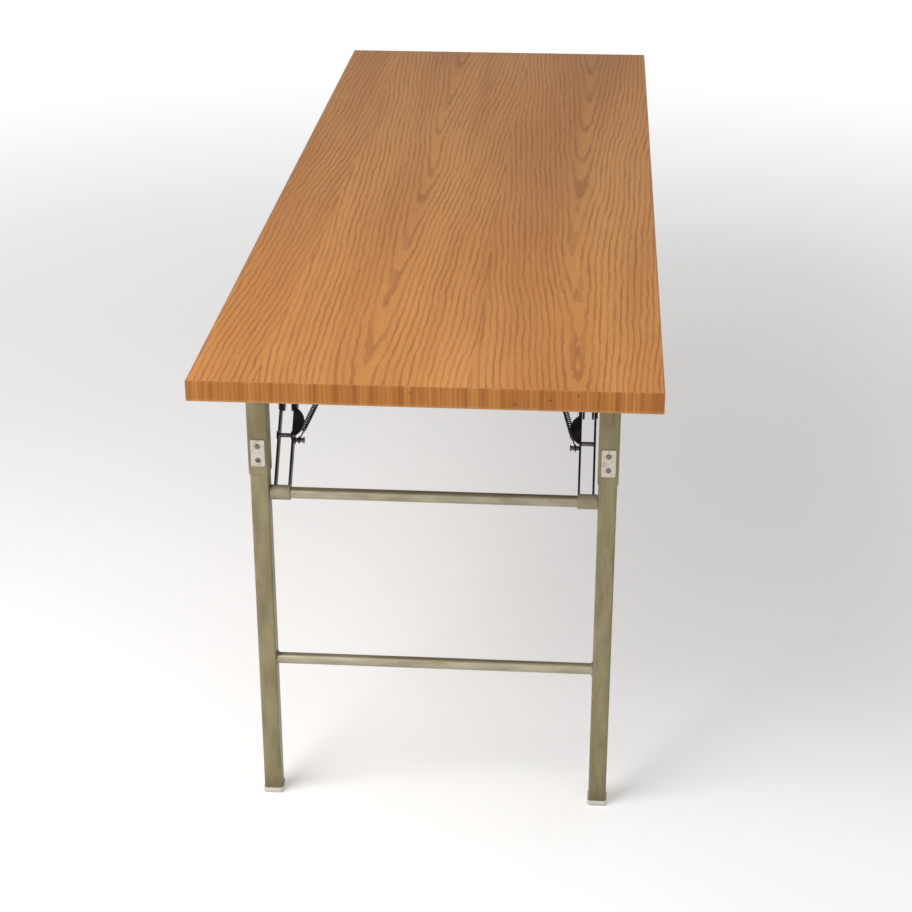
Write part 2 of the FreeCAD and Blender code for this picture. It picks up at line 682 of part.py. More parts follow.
def least_gap(edges):
    """The least clear distance between two turns of the wire, measured on points along it."""
    points = []
    travelled = 0
    for edge in edges[1:-1]:
        for point in edge.discretize(7)[:-1]:
            points.append((travelled + (point - edge.Vertexes[0].Point).Length, point))
        travelled += edge.Length
    apart = math.pi * coil_radius
    nearest = min(
        (second - first).Length
        for index, (here, first) in enumerate(points)
        for there, second in points[index + 1:index + 60]
        if there - here > apart
    )
    return nearest - size["spring_wire"]


edges, tightest, wire_start = spring_path()
path = Part.Wire(edges)
section = Part.Wire([Part.makeCircle(wire_radius, wire_start, Vector(1, 0, 0))])
spring_solid = Part.Solid(path.makePipeShell([section], True, False))
if spring_solid.Volume < 0:
    spring_solid.reverse()
expected = math.pi * wire_radius ** 2 * path.Length
print(f"spring: tightest bend {tightest:.2f} mm, least gap to itself {least_gap(edges):.2f} mm")
print(f"spring: volume {spring_solid.Volume:.1f} mm3 against {expected:.1f} mm3 from section and length")
spring = doc.addObject("Part::Feature", "stay_spring")
spring.Shape = spring_solid
spring.Placement = Placement(post_seat, spring_turn)
corner_nodes("stay_spring", spring)


# The core and the backing sheet take the screws in pilot holes
pilot_set = group("pilot_set", *pilot_holes)
pilots = group("pilots", *sides("pilot_corner", pilot_set).values())
node("core_board", cut("core_board", core_blank, pilots))
node("backing_sheet", cut("backing_sheet", backing_blank, pilots))

doc.recompute()


def stay_turns():
    """Pivots at end a on the right, and how far each part of a stay turns as its leg folds flat."""
    slope = math.degrees(stay_slope)
    post_inset = half_length - post_seat.x
    folded_post = folded_bar_inset - tie_x
    folded_height = pivot_height + size["post_offset"]
    open_pull = math.degrees(math.atan2(anchor_point.z - post_seat.z, size["spring_inset"] - post_inset))
    folded_pull = math.degrees(math.atan2(anchor_point.z - folded_height, size["spring_inset"] - folded_post))
    lower_turn = 180 - slope
    open_reach = math.hypot(anchor_point.z - post_seat.z, size["spring_inset"] - post_inset)
    folded_reach = math.hypot(anchor_point.z - folded_height, size["spring_inset"] - folded_post)
    print(f"hinge at x {leg_x:.3f} z {pivot_height:.3f}, bar z {bar_height:.3f}, stay pivot x {stay_x:.3f}")
    print(f"post at x {post_seat.x:.4f} y {post_seat.y:.4f} z {post_seat.z:.4f}, anchor {anchor_point}")
    print(f"upper stay turns {-slope:.4f}, lower stay {lower_turn - 90:.4f} on the leg")
    print(f"spring turns {folded_pull - open_pull - lower_turn:.4f} on the lower stay")
    print(f"spring reach in plane {open_reach:.3f} open, {folded_reach:.3f} folded")
    print(f"stay lengths: lower {lower_length:.3f}, upper {upper_length:.3f}, slope {slope:.3f} degrees")


stay_turns()

broken = [thing.Name for thing in doc.Objects if "Invalid" in thing.State or "Error" in thing.State]
if broken:
    raise SystemExit(f"failed features: {broken}")
for piece in nodes:
    shape = piece.Shape
    if shape.isNull() or not shape.isValid() or not shape.Solids:
        raise SystemExit(f"bad shape: {piece.Label}")

os.makedirs("parts", exist_ok=True)
for piece in nodes:
    piece.Shape.exportStep(os.path.join("parts", piece.Label + ".step"))
print(f"{len(nodes)} nodes, {sum(len(piece.Shape.Solids) for piece in nodes)} solids")
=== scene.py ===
# %% [markdown]
# # A folding banquet table
# The table is a long laminated board on two square-tube leg frames that fold flat under it.
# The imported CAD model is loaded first. It fixes every size and every moving body, so this
# lesson only dresses it: finishes for the solids, finer fasteners and the wound stay springs.

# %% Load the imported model
import bpy
import bmesh
import math
from mathutils import Matrix, Vector


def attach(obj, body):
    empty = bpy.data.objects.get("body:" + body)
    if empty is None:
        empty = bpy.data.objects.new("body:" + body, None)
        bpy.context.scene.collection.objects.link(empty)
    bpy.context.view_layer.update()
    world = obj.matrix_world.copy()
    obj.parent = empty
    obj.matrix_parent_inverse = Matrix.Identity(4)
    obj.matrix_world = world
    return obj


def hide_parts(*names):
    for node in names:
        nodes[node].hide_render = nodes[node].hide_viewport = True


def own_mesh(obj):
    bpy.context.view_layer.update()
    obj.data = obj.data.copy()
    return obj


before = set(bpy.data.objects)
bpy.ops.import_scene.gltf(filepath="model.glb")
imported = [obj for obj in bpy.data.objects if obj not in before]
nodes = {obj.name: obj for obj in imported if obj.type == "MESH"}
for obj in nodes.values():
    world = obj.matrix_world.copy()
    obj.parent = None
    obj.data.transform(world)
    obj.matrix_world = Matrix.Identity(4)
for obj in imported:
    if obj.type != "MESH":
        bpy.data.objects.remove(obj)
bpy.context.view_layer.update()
ENDS = {"a": 1, "b": -1}
SIDES = {"right": 1, "left": -1}
CORNERS = {f"{end}_{side}": (ENDS[end], SIDES[side]) for end in ENDS for side in SIDES}
print("pieces from the CAD model:", len(nodes))

# %% [markdown]
# ## Helpers for node trees
# A finish is a tree of nodes, and so is the rule for a repeated shape. Most of its lines add a node
# and plug values or other nodes into it. Written out, each takes four or five lines. These helpers
# do it in one, so a finish further down reads as a list of what lies on the surface.

# %% Add nodes and plug them together
# A Mix node has sockets for every kind of value. These are the places of its colour sockets.
MIX_FACTOR = 0
MIX_FIRST = 6
MIX_SECOND = 7
MIX_RESULT = 2


def plug(tree, socket, value):
    """Links another node's output, or sets a plain value."""
    if isinstance(value, bpy.types.NodeSocket):
        tree.links.new(value, socket)
    else:
        socket.default_value = value


def add(tree, kind, settings=None, **inputs):
    """A new node with its settings and inputs. An underscore in an input's name stands for a space."""
    made = tree.nodes.new(kind)
    for name, value in (settings or {}).items():
        setattr(made, name, value)
    for name, value in inputs.items():
        plug(tree, made.inputs[name.replace("_", " ")], value)
    return made


def calc(tree, operation, first, second=0.0):
    """The result of a sum, product or other operation on two numbers."""
    made = add(tree, "ShaderNodeMath", {"operation": operation})
    plug(tree, made.inputs[0], first)
    plug(tree, made.inputs[1], second)
    return made.outputs[0]


def times(tree, first, second):
    return calc(tree, "MULTIPLY", first, second)


def blend(tree, factor, first, second):
    """A colour between two others."""
    made = add(tree, "ShaderNodeMix", {"data_type": "RGBA"})
    plug(tree, made.inputs[MIX_FACTOR], factor)
    plug(tree, made.inputs[MIX_FIRST], first)
    plug(tree, made.inputs[MIX_SECOND], second)
    return made.outputs[MIX_RESULT]


def between(tree, value, low, high, start=0.0, finish=1.0):
    """Maps a value from low..high to start..finish, with soft ends."""
    made = add(tree, "ShaderNodeMapRange", {"interpolation_type": "SMOOTHSTEP"})
    for index, number in enumerate((value, low, high, start, finish)):
        plug(tree, made.inputs[index], number)
    return made.outputs[0]


print("colour sockets of a Mix node:", MIX_FIRST, "and", MIX_SECOND)

# %% [markdown]
# ## Helpers for finishes
# Patterns could be painted on pictures, but a picture has a fixed fineness and needs a UV map. Noise
# on Object coordinates needs neither: it is laid out in metres and stays on its piece when it moves.

# %% Patterns and empty finishes
def stretched(tree, scale):
    """Object coordinates in metres, stretched by a scale for each axis."""
    where = add(tree, "ShaderNodeTexCoord").outputs["Object"]
    return add(tree, "ShaderNodeMapping", Vector=where, Scale=scale).outputs[0]


def place_of(tree):
    """The three coordinates of a point of the surface, in metres."""
    return add(tree, "ShaderNodeSeparateXYZ", Vector=stretched(tree, (1, 1, 1))).outputs


def cloud(tree, scale, detail=3.0, rough=0.55):
    """Soft noise with its own scale for each axis, from 0 to 1."""
    return add(tree, "ShaderNodeTexNoise", Vector=stretched(tree, scale), Scale=1.0,
               Detail=detail, Roughness=rough).outputs[0]


def rgb(red, green, blue):
    """A colour as a socket takes it, with no transparency."""
    return (red, green, blue, 1.0)


def new_finish(name):
    """An empty finish, its tree and its shader."""
    finish = bpy.data.materials.new(name)
    finish.use_nodes = True
    tree = finish.node_tree
    return finish, tree, tree.nodes["Principled BSDF"]


def colour_with(tree, shader, colour):
    tree.links.new(colour, shader.inputs["Base Color"])


def roughen(tree, shader, roughness):
    tree.links.new(roughness, shader.inputs["Roughness"])


def raise_by(tree, shader, height, distance, strength=1.0):
    """Fine relief, as deep as the distance in metres."""
    bump = add(tree, "ShaderNodeBump", Height=height, Distance=distance, Strength=strength)
    tree.links.new(bump.outputs[0], shader.inputs["Normal"])


print("white as a socket takes it:", rgb(1.0, 1.0, 1.0))

# %% [markdown]
# ## Grain lines
# The top is a printed laminate: orange-brown, with long wavy grain lines that close here and there
# into arches. A tree's rings are nested cones, so a board sawn beside the heart shows them as nested
# arches. The number of the ring under a point is its distance from the heart plus a little of the way
# along the trunk. Noise bends the lines. A picture of wood would be quicker, but would repeat.

# %% Rings under a point of the board
PLANK_WIDTH = 0.26
PLANK_SHIFT = 0.075
PLANK_SWAY = 0.06
HEART_DEPTH = 0.014
HEART_SWAY = 0.014
TRUNK_TAPER = 0.038
LINE_WANDER = 0.0085
LINE_RIPPLE = 0.0062
BAND_RIPPLE = 0.12


def along_axes(along, across, long_scale, cross_scale):
    """One scale for each axis of the board: along the grain, across it, and little through it."""
    scale = {"X": 1.0, "Y": 1.0, "Z": 1.0}
    scale[along] = long_scale
    scale[across] = cross_scale
    return (scale["X"], scale["Y"], scale["Z"])


def sway(tree, scale, amount, detail=2.0):
    """Noise in metres, either side of zero."""
    return times(tree, calc(tree, "SUBTRACT", cloud(tree, scale, detail), 0.5), amount)


def straight_rings(tree, along, across, wander):
    """Distance across straight grain, in metres, with a slow drift and a fine ripple."""
    drift = sway(tree, along_axes(along, across, 0.8, 4.2), wander)
    ripple = sway(tree, along_axes(along, across, 3.4, 30.0), wander * BAND_RIPPLE)
    return calc(tree, "ADD", calc(tree, "ADD", place_of(tree)[across], drift), ripple)


def arched_rings(tree):
    """Distance from the heart of planks laid side by side along the board, in metres."""
    where = place_of(tree)
    aside = calc(tree, "ADD", where["Y"], sway(tree, (1.1, 3.0, 1.0), PLANK_SWAY))
    aside = calc(tree, "PINGPONG", calc(tree, "ADD", aside, PLANK_SHIFT), PLANK_WIDTH / 2)
    depth = calc(tree, "ADD", sway(tree, (1.7, 5.0, 1.0), HEART_SWAY), HEART_DEPTH)
    square = calc(tree, "ADD", times(tree, aside, aside), times(tree, depth, depth))
    rings = calc(tree, "ADD", calc(tree, "SQRT", square), times(tree, where["X"], TRUNK_TAPER))
    rings = calc(tree, "ADD", rings, sway(tree, (6.0, 26.0, 1.0), LINE_WANDER))
    return calc(tree, "ADD", rings, sway(tree, (24.0, 90.0, 1.0), LINE_RIPPLE, 3.0))


# %% [markdown]
# ## Wood-grain laminate
# A sine of the ring number draws the lines, broken a little as print is. Fine pores lie between them,
# and a satin seal over it all. Years of use show as a pale haze and rubbed patches. The seal is a thin
# coat of its own, because an ordinary shine would lay a white veil on the top in a bright room.

# %% Laminate
GRAIN_SPACING = 0.0084
LAMINATE_INK = 0.66
PORE_INK = 0.35
PALE_WOOD = rgb(0.7, 0.312, 0.08)
WARM_WOOD = rgb(0.56, 0.222, 0.05)
DARK_GRAIN = rgb(0.29, 0.1, 0.024)
HAZE_TONE = rgb(0.56, 0.32, 0.16)
RUBBED_TONE = rgb(0.66, 0.42, 0.24)
SEAL_WEIGHT = 0.22
SEAL_ROUGHNESS = 0.16


def wood_grain(tree, along, across, rings, spacing, ink):
    """Colour and depth of the printed grain, its lines as strong as the ink."""
    wave = calc(tree, "SINE", times(tree, rings, 2 * math.pi / spacing))
    breaks = between(tree, cloud(tree, along_axes(along, across, 6.0, 90.0), 3.0), 0.35, 0.65, 0.45, 1.0)
    line = times(tree, between(tree, wave, -0.1, 1.0), breaks)
    pores = between(tree, cloud(tree, along_axes(along, across, 30.0, 1300.0), 2.0), 0.5, 0.72)
    tone = between(tree, cloud(tree, along_axes(along, across, 0.8, 11.0), 2.0), 0.3, 0.7)
    colour = blend(tree, tone, PALE_WOOD, WARM_WOOD)
    colour = blend(tree, times(tree, line, ink), colour, DARK_GRAIN)
    colour = blend(tree, times(tree, pores, PORE_INK), colour, DARK_GRAIN)
    return colour, calc(tree, "ADD", line, pores)


def laminate_finish():
    finish, tree, shader = new_finish("wood_laminate")
    colour, depth = wood_grain(tree, "X", "Y", arched_rings(tree), GRAIN_SPACING, LAMINATE_INK)
    haze = between(tree, cloud(tree, (3.0, 5.0, 1.0), 4.0), 0.35, 0.75)
    rubbed = between(tree, cloud(tree, (14.0, 60.0, 1.0), 4.0), 0.66, 0.74)
    colour = blend(tree, times(tree, haze, 0.08), colour, HAZE_TONE)
    colour = blend(tree, times(tree, rubbed, 0.14), colour, RUBBED_TONE)
    colour_with(tree, shader, colour)
    gloss = calc(tree, "ADD", times(tree, haze, 0.12), 0.27)
    roughen(tree, shader, calc(tree, "ADD", gloss, times(tree, rubbed, 0.15)))
    shader.inputs["Specular IOR Level"].default_value = 0.0
    shader.inputs["Coat Weight"].default_value = SEAL_WEIGHT
    shader.inputs["Coat Roughness"].default_value = SEAL_ROUGHNESS
    raise_by(tree, shader, depth, 0.00012, 0.5)
    return finish


laminate = laminate_finish()
print("laminate nodes:", len(laminate.node_tree.nodes), "grain spacing in mm:", 1000 * GRAIN_SPACING)

# %% [markdown]
# ## Edge bands
# Thin strips of the same print close the edges of the board. On the short ends their grain stands
# upright, so it reads as light and dark stripes, and a redder brown comes and goes between them.
# They are knocked about: small dark chips show the board, most of them along the upper and lower
# edge. The paler lower lip is a painted highlight on the rounded edge. The grain recipe is used again, with
# straight rings.

# %% Edge band finishes
BOARD_BROWN = rgb(0.12, 0.055, 0.024)
BAND_BLUSH = rgb(0.3, 0.1, 0.02)
LIP_HIGHLIGHT = rgb(0.66, 0.4, 0.2)
BAND_INK = 0.5
TOP_FACE = 0.700
UPPER_ARRIS = 0.695
LOWER_LIP = 0.6765
UNDERSIDE = 0.672
END_STRIPES = 0.0052
SIDE_STRIPES = 0.009
END_WANDER = 0.03
SIDE_WANDER = 0.05


def band_finish(name, along, across, spacing, wander):
    finish, tree, shader = new_finish(name)
    rings = straight_rings(tree, along, across, wander)
    colour = wood_grain(tree, along, across, rings, spacing, BAND_INK)[0]
    height = place_of(tree)["Z"]
    lip = between(tree, height, LOWER_LIP, UNDERSIDE)
    blush = between(tree, cloud(tree, along_axes(along, across, 3.0, 85.0), 3.0), 0.35, 0.7, 0.3, 0.95)
    colour = blend(tree, blush, colour, BAND_BLUSH)
    # The paler lower lip is a painted highlight on the rounded edge.
    colour = blend(tree, times(tree, lip, 0.4), colour, LIP_HIGHLIGHT)
    arris = calc(tree, "MAXIMUM", lip, between(tree, height, UPPER_ARRIS, TOP_FACE))
    knocks = calc(tree, "ADD", cloud(tree, (55.0, 55.0, 90.0), 3.0, 0.65), times(tree, arris, 0.035))
    chipped = between(tree, knocks, 0.69, 0.725)
    colour = blend(tree, times(tree, chipped, 0.85), colour, BOARD_BROWN)
    colour_with(tree, shader, colour)
    roughen(tree, shader, calc(tree, "ADD", times(tree, chipped, 0.4), 0.36))
    shader.inputs["Specular IOR Level"].default_value = 0.2
    raise_by(tree, shader, calc(tree, "SUBTRACT", 1.0, chipped), 0.0004)
    return finish


end_band = band_finish("end_edge_band", "Z", "Y", END_STRIPES, END_WANDER)
side_band = band_finish("side_edge_band", "X", "Z", SIDE_STRIPES, SIDE_WANDER)
print("band height in mm:", round(1000 * (TOP_FACE - UNDERSIDE), 1))

# %% [markdown]
# ## Board and backing
# The core is particle board and hardly shows, so flakes of a Voronoi pattern are enough for it. The
# backing sheet under the top is plain brown paper laminate, matt and slightly fibrous, with the marks
# of years of stacking: fine noise drawn out across the table, and wide soft stains.

# %% Board and backing finishes
FLAKE_DARK = rgb(0.42, 0.29, 0.16)
FLAKE_PALE = rgb(0.62, 0.47, 0.3)
PAPER_DARK = rgb(0.2, 0.115, 0.06)
PAPER_PALE = rgb(0.29, 0.18, 0.1)
PAPER_STAIN = rgb(0.13, 0.08, 0.045)


def board_finish():
    finish, tree, shader = new_finish("particle_board")
    flakes = add(tree, "ShaderNodeTexVoronoi", Vector=stretched(tree, (260.0, 260.0, 420.0)), Scale=1.0)
    colour_with(tree, shader, blend(tree, flakes.outputs["Color"], FLAKE_DARK, FLAKE_PALE))
    shader.inputs["Roughness"].default_value = 0.85
    raise_by(tree, shader, flakes.outputs["Distance"], 0.0006)
    return finish


def backing_finish():
    finish, tree, shader = new_finish("backing_paper")
    fibre = cloud(tree, (60.0, 420.0, 60.0), 4.0)
    stain = between(tree, cloud(tree, (4.0, 6.0, 1.0), 4.0), 0.42, 0.68)
    colour = blend(tree, fibre, PAPER_DARK, PAPER_PALE)
    colour_with(tree, shader, blend(tree, times(tree, stain, 0.3), colour, PAPER_STAIN))
    roughen(tree, shader, between(tree, fibre, 0.2, 0.8, 0.62, 0.8))
    raise_by(tree, shader, fibre, 0.0002, 0.6)
    return finish


board = board_finish()
backing = backing_finish()
print("board and backing:", board.name, backing.name)

# %% [markdown]
# ## Grime and painted shade on the tubes
# Dirt settles on a leg above the foot, where the mop reaches. Along the top and the underside of a
# bar the colour is darkened as painted shade of the round bar, with some dust on top. Both follow from
# the height of a point alone, so no mask has to be painted.

# %% Where grime settles and shade is painted
FOOT_TOP = 0.008
MOP_LINE = 0.04
BAR_RADIUS = 0.008
LOWER_BAR_HEIGHT = 0.220
UPPER_BAR_HEIGHT = 0.480
LEG_GRIME = 0.75
# Strength of the painted shade along the top and underside of a bar, with some dust on top.
BAR_SHADE_AND_DUST = 0.7


def leg_grime(tree):
    return times(tree, between(tree, place_of(tree)["Z"], MOP_LINE, FOOT_TOP), LEG_GRIME)


def bar_shade_and_dust(tree):
    """From 0 at the middle height of either bar to its full amount along its top and underside: painted
    shade of the round bar, with some dust on top.
    """
    height = place_of(tree)["Z"]
    lower = calc(tree, "ABSOLUTE", calc(tree, "SUBTRACT", height, LOWER_BAR_HEIGHT))
    upper = calc(tree, "ABSOLUTE", calc(tree, "SUBTRACT", height, UPPER_BAR_HEIGHT))
    off_middle = calc(tree, "MINIMUM", lower, upper)
    return times(tree, between(tree, off_middle, 0.5 * BAR_RADIUS, BAR_RADIUS), BAR_SHADE_AND_DUST)


print("grime on a leg, in mm above the floor:", 1000 * FOOT_TOP, "to", 1000 * MOP_LINE)

# %% [markdown]
# ## Bronze paint on the legs and bars
# The tubes have a thin olive-bronze metallic paint. It is a little mottled, rubbed bright where
# chairs strike it and freckled with rust. The bars are the same paint, greyer and more scuffed, so
# one recipe takes the colours, the amount of wear and the grime, which on the bars is partly painted shade.
# Its marks run along the tube.

# %% Tube paint
# Colour of the grime, and on the bars also of the painted shade along their top and underside.
TUBE_DIRT_AND_SHADE = rgb(0.13, 0.098, 0.05)
RUST = rgb(0.11, 0.05, 0.022)
LEG_DARK = rgb(0.205, 0.172, 0.085)
LEG_LIGHT = rgb(0.3, 0.258, 0.142)
LEG_WORN = rgb(0.42, 0.38, 0.26)
BAR_DARK = rgb(0.33, 0.295, 0.195)
BAR_LIGHT = rgb(0.46, 0.42, 0.305)
BAR_WORN = rgb(0.57, 0.53, 0.43)
LEG_WEAR = 0.5
BAR_WEAR = 0.8


def lengthwise(along, long_scale, cross_scale):
    """One scale for each axis of a tube, so that marks run with its length."""
    return tuple(long_scale if axis == along else cross_scale for axis in "XYZ")


def tube_paint(name, along, dark, light, worn, wear, dirt_and_shade):
    finish, tree, shader = new_finish(name)
    mottle = cloud(tree, lengthwise(along, 18.0, 60.0), 4.0)
    colour = blend(tree, between(tree, mottle, 0.3, 0.7), dark, light)
    grime = between(tree, cloud(tree, lengthwise(along, 9.0, 38.0), 5.0, 0.65), 0.48, 0.7)
    # On the bars the part set by height is painted shade along the top and underside, with some dust on
    # top.
    grime = calc(tree, "MAXIMUM", times(tree, grime, 0.36), dirt_and_shade(tree))
    colour = blend(tree, grime, colour, TUBE_DIRT_AND_SHADE)
    drawn = cloud(tree, lengthwise(along, 6.0, 300.0), 3.0)
    colour = blend(tree, between(tree, drawn, 0.35, 0.75, 0.0, 0.35), colour, light)
    rubbed = between(tree, cloud(tree, lengthwise(along, 30.0, 70.0), 5.0, 0.7), 0.63, 0.72)
    colour = blend(tree, times(tree, rubbed, wear), colour, worn)
    rust = between(tree, cloud(tree, lengthwise(along, 160.0, 210.0), 3.0, 0.7), 0.69, 0.74)
    colour_with(tree, shader, blend(tree, times(tree, rust, 0.75), colour, RUST))
    shader.inputs["Metallic"].default_value = 0.35
    gloss = between(tree, drawn, 0.3, 0.7, 0.34, 0.46)
    roughen(tree, shader, calc(tree, "ADD", gloss, times(tree, rust, 0.35)))
    skin = calc(tree, "SUBTRACT", times(tree, mottle, 0.5), calc(tree, "ADD", rubbed, rust))
    raise_by(tree, shader, skin, 0.00015, 0.6)
    return finish


leg_paint = tube_paint("bronze_paint", "Z", LEG_DARK, LEG_LIGHT, LEG_WORN, LEG_WEAR, leg_grime)
bar_paint = tube_paint("bar_paint", "Y", BAR_DARK, BAR_LIGHT, BAR_WORN, BAR_WEAR, bar_shade_and_dust)
print("tube paints:", leg_paint.name, bar_paint.name)

# %% [markdown]
# ## Black paint on the stays
# Stays and brackets are pressed steel in black paint, dusty and worn to grey in specks. The sleeve of
# a lower stay turns on the upper bar and has the bar's olive, so it hardly shows beside the bar. It
# could be a second material on some faces, but distance from the bar's axis finds it without picking any.

# %% Black finishes
BAR_PLACE = 0.758
SLEEVE_RADIUS = 0.0105
SLEEVE_EDGE = 0.0004
SLEEVE_OLIVE = rgb(0.34, 0.305, 0.205)
SLEEVE_GRIME = rgb(0.2, 0.168, 0.1)
BLACK = rgb(0.014, 0.014, 0.015)
BLACK_DUST = rgb(0.055, 0.053, 0.05)
BARE_STEEL = rgb(0.2, 0.19, 0.175)
BLACK_SHINE = 0.22
PAINT_GLOSS = 0.36
OILED_GLOSS = 0.28


def on_sleeve(tree):
    """1 on the sleeve that turns on the upper bar, 0 on the straps."""
    where = place_of(tree)
    run = calc(tree, "SUBTRACT", calc(tree, "ABSOLUTE", where["X"]), BAR_PLACE)
    rise = calc(tree, "SUBTRACT", where["Z"], UPPER_BAR_HEIGHT)
    square = calc(tree, "ADD", times(tree, run, run), times(tree, rise, rise))
    return between(tree, calc(tree, "SQRT", square), SLEEVE_RADIUS + SLEEVE_EDGE, SLEEVE_RADIUS)


def black_finish(name, gloss, sleeve=False):
    finish, tree, shader = new_finish(name)
    dust = between(tree, cloud(tree, (45.0, 45.0, 45.0), 4.0), 0.4, 0.75)
    colour = blend(tree, times(tree, dust, 0.5), BLACK, BLACK_DUST)
    worn = between(tree, cloud(tree, (240.0, 240.0, 240.0), 4.0, 0.7), 0.68, 0.74)
    colour = blend(tree, times(tree, worn, 0.7), colour, BARE_STEEL)
    if sleeve:
        olive = blend(tree, dust, SLEEVE_OLIVE, SLEEVE_GRIME)
        colour = blend(tree, on_sleeve(tree), colour, olive)
    colour_with(tree, shader, colour)
    roughen(tree, shader, between(tree, dust, 0.0, 1.0, gloss, gloss + 0.2))
    shader.inputs["Specular IOR Level"].default_value = BLACK_SHINE
    raise_by(tree, shader, calc(tree, "SUBTRACT", dust, worn), 0.0001, 0.7)
    return finish


black_paint = black_finish("black_paint", PAINT_GLOSS)
lower_stay_paint = black_finish("lower_stay_paint", PAINT_GLOSS, sleeve=True)
spring_black = black_finish("spring_wire", OILED_GLOSS)
print("black finishes:", black_paint.name, lower_stay_paint.name, spring_black.name)

# %% [markdown]
# ## Bare and plated metal
# Pins, rivets, screws and the little plates on the legs are bare or plated metal. They differ in
# colour, gloss and dirt only, so they share one recipe: a metal colour, fine scratches in the gloss
# and a film of grime.

# %% Metal finishes
def metal_finish(name, clean, grime, gloss, soil):
    finish, tree, shader = new_finish(name)
    film = between(tree, cloud(tree, (130.0, 130.0, 130.0), 4.0, 0.65), 0.45, 0.75)
    scratch = cloud(tree, (900.0, 900.0, 60.0), 2.0)
    colour_with(tree, shader, blend(tree, times(tree, film, soil), clean, grime))
    shader.inputs["Metallic"].default_value = 1.0
    rough = between(tree, scratch, 0.3, 0.7, gloss, gloss + 0.12)
    roughen(tree, shader, calc(tree, "ADD", rough, times(tree, film, 0.2)))
    raise_by(tree, shader, scratch, 0.00005, 0.5)
    return finish


nickel = metal_finish("bright_nickel", rgb(0.52, 0.485, 0.41), rgb(0.27, 0.23, 0.165), 0.24, 0.6)
dark_rivet = metal_finish("dark_rivet_steel", rgb(0.2, 0.185, 0.16), rgb(0.07, 0.055, 0.04), 0.34, 0.8)
dull_pin = metal_finish("dark_pin_steel", rgb(0.16, 0.155, 0.148), rgb(0.06, 0.055, 0.048), 0.36, 0.7)
zinc = metal_finish("zinc_screws", rgb(0.66, 0.65, 0.61), rgb(0.3, 0.27, 0.2), 0.28, 0.6)
print("metals:", nickel.name, dark_rivet.name, dull_pin.name, zinc.name)

# %% [markdown]
# ## Plastic feet
# The feet are pale moulded plastic, matt, and grubby where they meet the floor. Dirt is the sum of a
# fine speckle and a shade that grows toward the floor.

# %% Foot plastic
FOOT_PALE = rgb(0.72, 0.7, 0.62)
FOOT_DIRT = rgb(0.3, 0.26, 0.19)


def foot_finish():
    finish, tree, shader = new_finish("pale_plastic")
    low = between(tree, place_of(tree)["Z"], 0.75 * FOOT_TOP, 0.0)
    speckle = cloud(tree, (320.0, 320.0, 320.0), 4.0)
    soil = times(tree, calc(tree, "ADD", low, between(tree, speckle, 0.5, 0.75)), 0.45)
    colour_with(tree, shader, blend(tree, soil, FOOT_PALE, FOOT_DIRT))
    roughen(tree, shader, between(tree, speckle, 0.3, 0.7, 0.42, 0.58))
    raise_by(tree, shader, speckle, 0.0001, 0.5)
    return finish


foot_plastic = foot_finish()
print("foot finish:", foot_plastic.name)

# %% [markdown]
# ## Dress the solids
# Each CAD solid keeps its own shape. It only takes the finish of its kind, found by the start of
# its name. Where two names start alike, the longer one stands first.

# %% Hand out the finishes
FINISH_BY_NAME = [
    ("top_laminate", laminate),
    ("core_board", board),
    ("backing_sheet", backing),
    ("end_edge_bands", end_band),
    ("side_edge_bands", side_band),
    ("leg_", leg_paint),
    ("upper_bar", bar_paint),
    ("lower_bar", bar_paint),
    ("foot_", foot_plastic),
    ("rivet_plates", nickel),
    ("plate_rivets", dark_rivet),
    ("hinge_bracket_screws", zinc),
    ("stay_bracket_screws", zinc),
    ("spring_anchor_screws", zinc),
    ("hinge_rivets", dull_pin),
    ("stay_pivot_pins", dull_pin),
    ("stay_pins", dull_pin),
    ("stay_spring", spring_black),
    ("hinge_bracket", black_paint),
    ("stay_bracket", black_paint),
    ("spring_anchor", black_paint),
    ("upper_stay", black_paint),
    ("lower_stay", lower_stay_paint),
]
for name, piece in nodes.items():
    finish = next(finish for start, finish in FINISH_BY_NAME if name.startswith(start))
    piece.data.materials.clear()
    piece.data.materials.append(finish)
print("finishes handed out:", len(bpy.data.materials))

# %% [markdown]
# ## Camera
# The picture is taken from in front of one end, a little right of the middle and well above the top.
# The camera could stand close with a wide lens, but a long lens from further off keeps the legs upright
# and still fills the frame with the table.

# %% Camera
CAMERA_PLACE = Vector((3.164, 0.204, 1.649))
CAMERA_AIM = Vector((0.33, 0.0, 0.345))
IMAGE_SIZE = 912
FOCAL_PIXELS = 1980
SENSOR_WIDTH = 36.0


def turn_toward(place, aim):
    """The turn of a camera or lamp at a place that looks at its aim."""
    return (Vector(aim) - Vector(place)).to_track_quat("-Z", "Y").to_euler()


camera_data = bpy.data.cameras.new("camera")
camera_data.sensor_width = SENSOR_WIDTH
camera_data.lens = SENSOR_WIDTH * FOCAL_PIXELS / IMAGE_SIZE
camera = bpy.data.objects.new("camera", camera_data)
camera.location = CAMERA_PLACE
camera.rotation_euler = turn_toward(CAMERA_PLACE, CAMERA_AIM)
bpy.context.scene.collection.objects.link(camera)
bpy.context.scene.camera = camera
bpy.context.scene.view_settings.view_transform = "Standard"
print("lens in mm:", round(camera_data.lens, 1))

# %% [markdown]
# ## Floor
# The table stands on a pale floor that fades into a white background. Brighter lamps would wash out
# the wood, so the floor itself glows a little, and more with distance, but only to the camera and in
# reflections. It lights nothing, and it keeps the shadow of the table.

# %% Floor
FLOOR_HALF = 30.0
FLOOR_DARK = rgb(0.88, 0.88, 0.88)
FLOOR_PALE = rgb(0.92, 0.92, 0.92)
WHITE = rgb(1.0, 1.0, 1.0)
LIFT_NEAR = 0.24
LIFT_FAR = 0.68
FADE_START = 0.9
FADE_END = 4.5


